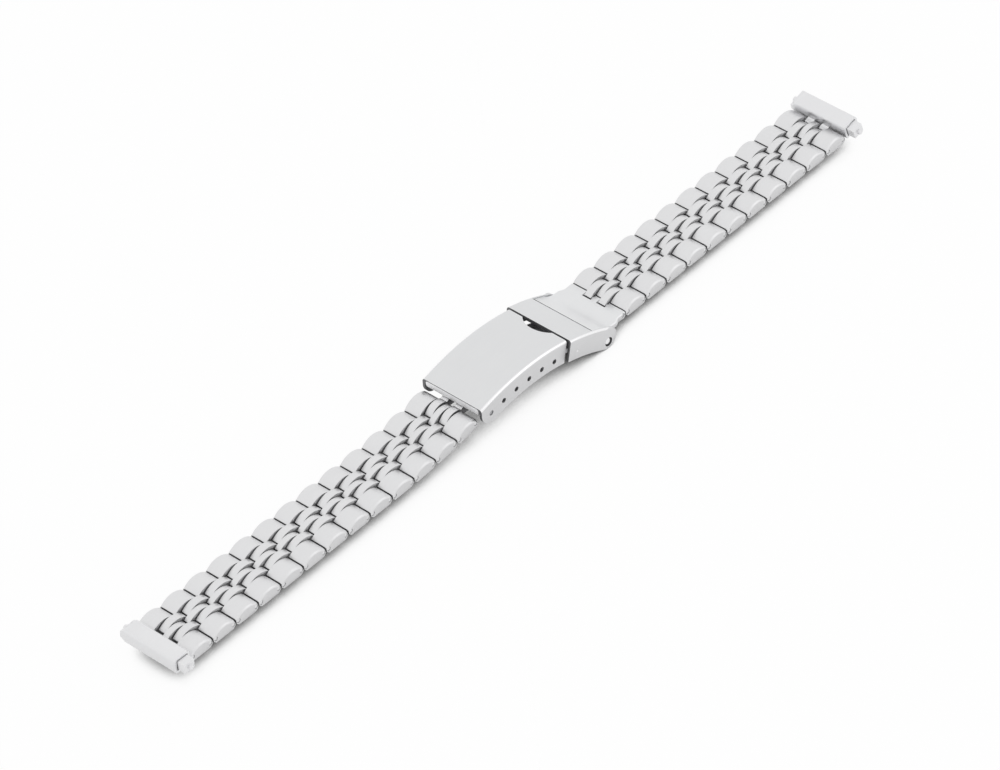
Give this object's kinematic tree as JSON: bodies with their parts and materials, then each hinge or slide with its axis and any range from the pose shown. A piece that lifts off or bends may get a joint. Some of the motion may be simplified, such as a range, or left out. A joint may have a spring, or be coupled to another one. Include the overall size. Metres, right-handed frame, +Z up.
{
  "type": "watch bracelet",
  "caption": "Slim steel watch bracelet with hinged link rows, a fold-over clasp with a safety flap, and telescopic spring bar ends.",
  "frame": {"origin": "middle of the bracelet's length, on the surface it lies on, midway across the links", "axes": "+X along the bracelet towards the strip with fewer rows, -Y the side the telescopic inserts stand out of, +Z up"},
  "size_m": [0.1451, 0.0131, 0.0076],
  "materials": {
    "link_steel": "satin brushed along the bracelet",
    "clasp_steel": "fine brushed with bright edges",
    "inner_steel": "plain machined"
  },
  "bodies": {
    "inner_blade": {"inner_blade": "inner_steel", "flap_rivet": "inner_steel"},
    "outer_blade": {"outer_blade": "inner_steel", "blade_pins": "inner_steel"},
    "clasp_cover": {"clasp_cover": "clasp_steel", "clasp_spring_bar": "inner_steel"},
    "spring_bar_link": {"spring_bar_link": "link_steel"},
    "safety_flap": {"safety_flap": "clasp_steel"},
    "end_plate": {"end_plate": "clasp_steel"},
    "six_13_links": {"six_13_links": "link_steel"},
    "six_12_side_beads": {"six_12_side_beads": "link_steel"},
    "six_12_links": {"six_12_links": "link_steel"},
    "six_11_side_beads": {"six_11_side_beads": "link_steel"},
    "six_11_links": {"six_11_links": "link_steel"},
    "six_10_side_beads": {"six_10_side_beads": "link_steel"},
    "six_10_links": {"six_10_links": "link_steel"},
    "six_09_side_beads": {"six_09_side_beads": "link_steel"},
    "six_09_links": {"six_09_links": "link_steel"},
    "six_08_side_beads": {"six_08_side_beads": "link_steel"},
    "six_08_links": {"six_08_links": "link_steel"},
    "six_07_side_beads": {"six_07_side_beads": "link_steel"},
    "six_07_links": {"six_07_links": "link_steel"},
    "six_06_side_beads": {"six_06_side_beads": "link_steel"},
    "six_06_links": {"six_06_links": "link_steel"},
    "six_05_side_beads": {"six_05_side_beads": "link_steel"},
    "six_05_links": {"six_05_links": "link_steel"},
    "six_04_side_beads": {"six_04_side_beads": "link_steel"},
    "six_04_links": {"six_04_links": "link_steel"},
    "six_03_side_beads": {"six_03_side_beads": "link_steel"},
    "six_03_links": {"six_03_links": "link_steel"},
    "six_02_side_beads": {"six_02_side_beads": "link_steel"},
    "six_02_links": {"six_02_links": "link_steel"},
    "six_01_side_beads": {"six_01_side_beads": "link_steel"},
    "six_01_links": {"six_01_links": "link_steel"},
    "twelve_01_side_beads": {"twelve_01_side_beads": "link_steel"},
    "twelve_01_links": {"twelve_01_links": "link_steel"},
    "twelve_02_side_beads": {"twelve_02_side_beads": "link_steel"},
    "twelve_02_links": {"twelve_02_links": "link_steel"},
    "twelve_03_side_beads": {"twelve_03_side_beads": "link_steel"},
    "twelve_03_links": {"twelve_03_links": "link_steel"},
    "twelve_04_side_beads": {"twelve_04_side_beads": "link_steel"},
    "twelve_04_links": {"twelve_04_links": "link_steel"},
    "twelve_05_side_beads": {"twelve_05_side_beads": "link_steel"},
    "twelve_05_links": {"twelve_05_links": "link_steel"},
    "twelve_06_side_beads": {"twelve_06_side_beads": "link_steel"},
    "twelve_06_links": {"twelve_06_links": "link_steel"},
    "twelve_07_side_beads": {"twelve_07_side_beads": "link_steel"},
    "twelve_07_links": {"twelve_07_links": "link_steel"},
    "twelve_08_side_beads": {"twelve_08_side_beads": "link_steel"},
    "twelve_08_links": {"twelve_08_links": "link_steel"},
    "twelve_09_side_beads": {"twelve_09_side_beads": "link_steel"},
    "twelve_09_links": {"twelve_09_links": "link_steel"},
    "twelve_10_side_beads": {"twelve_10_side_beads": "link_steel"},
    "twelve_10_links": {"twelve_10_links": "link_steel"},
    "twelve_11_side_beads": {"twelve_11_side_beads": "link_steel"},
    "twelve_11_links": {"twelve_11_links": "link_steel"},
    "six_end_tube": {"six_end_tube": "clasp_steel"},
    "six_end_insert": {"six_end_insert": "clasp_steel"},
    "twelve_end_tube": {"twelve_end_tube": "clasp_steel"},
    "twelve_end_insert": {"twelve_end_insert": "clasp_steel"}
  },
  "joints": [
    {"name": "clasp_fold", "type": "hinge", "parent": "inner_blade", "child": "outer_blade", "pos_m": [-0.00655, 0, 0.00443], "axis": [0, -1, 0], "range_deg": [0, 160]},
    {"name": "clasp_cover_hinge", "type": "hinge", "parent": "outer_blade", "child": "clasp_cover", "pos_m": [0.00559, 0, 0.00508], "axis": [0, -1, 0], "range_deg": [-160, 0]},
    {"name": "clasp_bar_hinge", "type": "hinge", "parent": "clasp_cover", "child": "spring_bar_link", "pos_m": [-0.00901, 0, 0.00454], "axis": [0, -1, 0], "range_deg": [-2, 12]},
    {"name": "clasp_flap_hinge", "type": "hinge", "parent": "inner_blade", "child": "safety_flap", "pos_m": [0.01529, 0, 0.00108], "axis": [0, 1, 0], "range_deg": [0, 90]},
    {"name": "clasp_end_plate_hinge", "type": "hinge", "parent": "inner_blade", "child": "end_plate", "pos_m": [0.01529, 0, 0.00108], "axis": [0, 1, 0], "range_deg": [-2, 20]},
    {"name": "six_13_links_hinge", "type": "hinge", "parent": "spring_bar_link", "child": "six_13_links", "pos_m": [-0.01179, 0, 0.00418], "axis": [0, -1, 0], "range_deg": [-2, 6]},
    {"name": "six_12_side_beads_hinge", "type": "hinge", "parent": "six_13_links", "child": "six_12_side_beads", "pos_m": [-0.01519, 0, 0.00355], "axis": [0, -1, 0], "range_deg": [-2, 6]},
    {"name": "six_12_links_hinge", "type": "hinge", "parent": "six_12_side_beads", "child": "six_12_links", "pos_m": [-0.01622, 0, 0.00341], "axis": [0, -1, 0], "range_deg": [-2, 6]},
    {"name": "six_11_side_beads_hinge", "type": "hinge", "parent": "six_12_links", "child": "six_11_side_beads", "pos_m": [-0.01966, 0, 0.00305], "axis": [0, -1, 0], "range_deg": [-2, 6]},
    {"name": "six_11_links_hinge", "type": "hinge", "parent": "six_11_side_beads", "child": "six_11_links", "pos_m": [-0.0207, 0, 0.00297], "axis": [0, -1, 0], "range_deg": [-2, 6]},
    {"name": "six_10_side_beads_hinge", "type": "hinge", "parent": "six_11_links", "child": "six_10_side_beads", "pos_m": [-0.02415, 0, 0.00281], "axis": [0, -1, 0], "range_deg": [-2, 6]},
    {"name": "six_10_links_hinge", "type": "hinge", "parent": "six_10_side_beads", "child": "six_10_links", "pos_m": [-0.02519, 0, 0.00278], "axis": [0, -1, 0], "range_deg": [-2, 6]},
    {"name": "six_09_side_beads_hinge", "type": "hinge", "parent": "six_10_links", "child": "six_09_side_beads", "pos_m": [-0.02865, 0, 0.00274], "axis": [0, -1, 0], "range_deg": [-2, 6]},
    {"name": "six_09_links_hinge", "type": "hinge", "parent": "six_09_side_beads", "child": "six_09_links", "pos_m": [-0.02969, 0, 0.00274], "axis": [0, -1, 0], "range_deg": [-2, 6]},
    {"name": "six_08_side_beads_hinge", "type": "hinge", "parent": "six_09_links", "child": "six_08_side_beads", "pos_m": [-0.03315, 0, 0.00274], "axis": [0, -1, 0], "range_deg": [-2, 6]},
    {"name": "six_08_links_hinge", "type": "hinge", "parent": "six_08_side_beads", "child": "six_08_links", "pos_m": [-0.03419, 0, 0.00274], "axis": [0, -1, 0], "range_deg": [-2, 6]},
    {"name": "six_07_side_beads_hinge", "type": "hinge", "parent": "six_08_links", "child": "six_07_side_beads", "pos_m": [-0.03765, 0, 0.00274], "axis": [0, -1, 0], "range_deg": [-2, 6]},
    {"name": "six_07_links_hinge", "type": "hinge", "parent": "six_07_side_beads", "child": "six_07_links", "pos_m": [-0.03869, 0, 0.00274], "axis": [0, -1, 0], "range_deg": [-2, 6]},
    {"name": "six_06_side_beads_hinge", "type": "hinge", "parent": "six_07_links", "child": "six_06_side_beads", "pos_m": [-0.04215, 0, 0.00274], "axis": [0, -1, 0], "range_deg": [-2, 6]},
    {"name": "six_06_links_hinge", "type": "hinge", "parent": "six_06_side_beads", "child": "six_06_links", "pos_m": [-0.04319, 0, 0.00274], "axis": [0, -1, 0], "range_deg": [-2, 6]},
    {"name": "six_05_side_beads_hinge", "type": "hinge", "parent": "six_06_links", "child": "six_05_side_beads", "pos_m": [-0.04665, 0, 0.00274], "axis": [0, -1, 0], "range_deg": [-2, 6]},
    {"name": "six_05_links_hinge", "type": "hinge", "parent": "six_05_side_beads", "child": "six_05_links", "pos_m": [-0.04769, 0, 0.00274], "axis": [0, -1, 0], "range_deg": [-2, 6]},
    {"name": "six_04_side_beads_hinge", "type": "hinge", "parent": "six_05_links", "child": "six_04_side_beads", "pos_m": [-0.05115, 0, 0.00274], "axis": [0, -1, 0], "range_deg": [-2, 6]},
    {"name": "six_04_links_hinge", "type": "hinge", "parent": "six_04_side_beads", "child": "six_04_links", "pos_m": [-0.05219, 0, 0.00274], "axis": [0, -1, 0], "range_deg": [-2, 6]},
    {"name": "six_03_side_beads_hinge", "type": "hinge", "parent": "six_04_links", "child": "six_03_side_beads", "pos_m": [-0.05565, 0, 0.00274], "axis": [0, -1, 0], "range_deg": [-2, 6]},
    {"name": "six_03_links_hinge", "type": "hinge", "parent": "six_03_side_beads", "child": "six_03_links", "pos_m": [-0.05669, 0, 0.00274], "axis": [0, -1, 0], "range_deg": [-2, 6]},
    {"name": "six_02_side_beads_hinge", "type": "hinge", "parent": "six_03_links", "child": "six_02_side_beads", "pos_m": [-0.06015, 0, 0.00274], "axis": [0, -1, 0], "range_deg": [-2, 6]},
    {"name": "six_02_links_hinge", "type": "hinge", "parent": "six_02_side_beads", "child": "six_02_links", "pos_m": [-0.06119, 0, 0.00274], "axis": [0, -1, 0], "range_deg": [-2, 6]},
    {"name": "six_01_side_beads_hinge", "type": "hinge", "parent": "six_02_links", "child": "six_01_side_beads", "pos_m": [-0.06465, 0, 0.00274], "axis": [0, -1, 0], "range_deg": [-2, 6]},
    {"name": "six_01_links_hinge", "type": "hinge", "parent": "six_01_side_beads", "child": "six_01_links", "pos_m": [-0.06569, 0, 0.00274], "axis": [0, -1, 0], "range_deg": [-2, 6]},
    {"name": "twelve_01_side_beads_hinge", "type": "hinge", "parent": "end_plate", "child": "twelve_01_side_beads", "pos_m": [0.01965, 0, 0.00254], "axis": [0, 1, 0], "range_deg": [-2, 6]},
    {"name": "twelve_01_links_hinge", "type": "hinge", "parent": "twelve_01_side_beads", "child": "twelve_01_links", "pos_m": [0.02069, 0, 0.00254], "axis": [0, 1, 0], "range_deg": [-2, 6]},
    {"name": "twelve_02_side_beads_hinge", "type": "hinge", "parent": "twelve_01_links", "child": "twelve_02_side_beads", "pos_m": [0.02415, 0, 0.00254], "axis": [0, 1, 0], "range_deg": [-2, 6]},
    {"name": "twelve_02_links_hinge", "type": "hinge", "parent": "twelve_02_side_beads", "child": "twelve_02_links", "pos_m": [0.02519, 0, 0.00254], "axis": [0, 1, 0], "range_deg": [-2, 6]},
    {"name": "twelve_03_side_beads_hinge", "type": "hinge", "parent": "twelve_02_links", "child": "twelve_03_side_beads", "pos_m": [0.02865, 0, 0.00254], "axis": [0, 1, 0], "range_deg": [-2, 6]},
    {"name": "twelve_03_links_hinge", "type": "hinge", "parent": "twelve_03_side_beads", "child": "twelve_03_links", "pos_m": [0.02969, 0, 0.00254], "axis": [0, 1, 0], "range_deg": [-2, 6]},
    {"name": "twelve_04_side_beads_hinge", "type": "hinge", "parent": "twelve_03_links", "child": "twelve_04_side_beads", "pos_m": [0.03315, 0, 0.00254], "axis": [0, 1, 0], "range_deg": [-2, 6]},
    {"name": "twelve_04_links_hinge", "type": "hinge", "parent": "twelve_04_side_beads", "child": "twelve_04_links", "pos_m": [0.03419, 0, 0.00254], "axis": [0, 1, 0], "range_deg": [-2, 6]},
    {"name": "twelve_05_side_beads_hinge", "type": "hinge", "parent": "twelve_04_links", "child": "twelve_05_side_beads", "pos_m": [0.03765, 0, 0.00254], "axis": [0, 1, 0], "range_deg": [-2, 6]},
    {"name": "twelve_05_links_hinge", "type": "hinge", "parent": "twelve_05_side_beads", "child": "twelve_05_links", "pos_m": [0.03869, 0, 0.00254], "axis": [0, 1, 0], "range_deg": [-2, 6]},
    {"name": "twelve_06_side_beads_hinge", "type": "hinge", "parent": "twelve_05_links", "child": "twelve_06_side_beads", "pos_m": [0.04215, 0, 0.00254], "axis": [0, 1, 0], "range_deg": [-2, 6]},
    {"name": "twelve_06_links_hinge", "type": "hinge", "parent": "twelve_06_side_beads", "child": "twelve_06_links", "pos_m": [0.04319, 0, 0.00254], "axis": [0, 1, 0], "range_deg": [-2, 6]},
    {"name": "twelve_07_side_beads_hinge", "type": "hinge", "parent": "twelve_06_links", "child": "twelve_07_side_beads", "pos_m": [0.04665, 0, 0.00254], "axis": [0, 1, 0], "range_deg": [-2, 6]},
    {"name": "twelve_07_links_hinge", "type": "hinge", "parent": "twelve_07_side_beads", "child": "twelve_07_links", "pos_m": [0.04769, 0, 0.00254], "axis": [0, 1, 0], "range_deg": [-2, 6]},
    {"name": "twelve_08_side_beads_hinge", "type": "hinge", "parent": "twelve_07_links", "child": "twelve_08_side_beads", "pos_m": [0.05115, 0, 0.00254], "axis": [0, 1, 0], "range_deg": [-2, 6]},
    {"name": "twelve_08_links_hinge", "type": "hinge", "parent": "twelve_08_side_beads", "child": "twelve_08_links", "pos_m": [0.05219, 0, 0.00254], "axis": [0, 1, 0], "range_deg": [-2, 6]},
    {"name": "twelve_09_side_beads_hinge", "type": "hinge", "parent": "twelve_08_links", "child": "twelve_09_side_beads", "pos_m": [0.05565, 0, 0.00254], "axis": [0, 1, 0], "range_deg": [-2, 6]},
    {"name": "twelve_09_links_hinge", "type": "hinge", "parent": "twelve_09_side_beads", "child": "twelve_09_links", "pos_m": [0.05669, 0, 0.00254], "axis": [0, 1, 0], "range_deg": [-2, 6]},
    {"name": "twelve_10_side_beads_hinge", "type": "hinge", "parent": "twelve_09_links", "child": "twelve_10_side_beads", "pos_m": [0.06015, 0, 0.00254], "axis": [0, 1, 0], "range_deg": [-2, 6]},
    {"name": "twelve_10_links_hinge", "type": "hinge", "parent": "twelve_10_side_beads", "child": "twelve_10_links", "pos_m": [0.06119, 0, 0.00254], "axis": [0, 1, 0], "range_deg": [-2, 6]},
    {"name": "twelve_11_side_beads_hinge", "type": "hinge", "parent": "twelve_10_links", "child": "twelve_11_side_beads", "pos_m": [0.06465, 0, 0.00254], "axis": [0, 1, 0], "range_deg": [-2, 6]},
    {"name": "twelve_11_links_hinge", "type": "hinge", "parent": "twelve_11_side_beads", "child": "twelve_11_links", "pos_m": [0.06569, 0, 0.00254], "axis": [0, 1, 0], "range_deg": [-2, 6]},
    {"name": "end_tube_six_hinge", "type": "hinge", "parent": "six_01_links", "child": "six_end_tube", "pos_m": [-0.06915, 0, 0.00274], "axis": [0, -1, 0], "range_deg": [-15, 20]},
    {"name": "end_insert_six_slide", "type": "slide", "parent": "six_end_tube", "child": "six_end_insert", "axis": [0, 1, 0], "range_m": [0, 0.0012], "stiffness_N_per_m": 400},
    {"name": "end_tube_twelve_hinge", "type": "hinge", "parent": "twelve_11_links", "child": "twelve_end_tube", "pos_m": [0.06915, 0, 0.00254], "axis": [0, 1, 0], "range_deg": [-2, 35]},
    {"name": "end_insert_twelve_slide", "type": "slide", "parent": "twelve_end_tube", "child": "twelve_end_insert", "axis": [0, 1, 0], "range_m": [0, 0.0012], "stiffness_N_per_m": 400}
  ],
  "couplings": [
    {"joint": "clasp_cover_hinge", "follows": "clasp_fold", "ratio": -1}
  ]
}
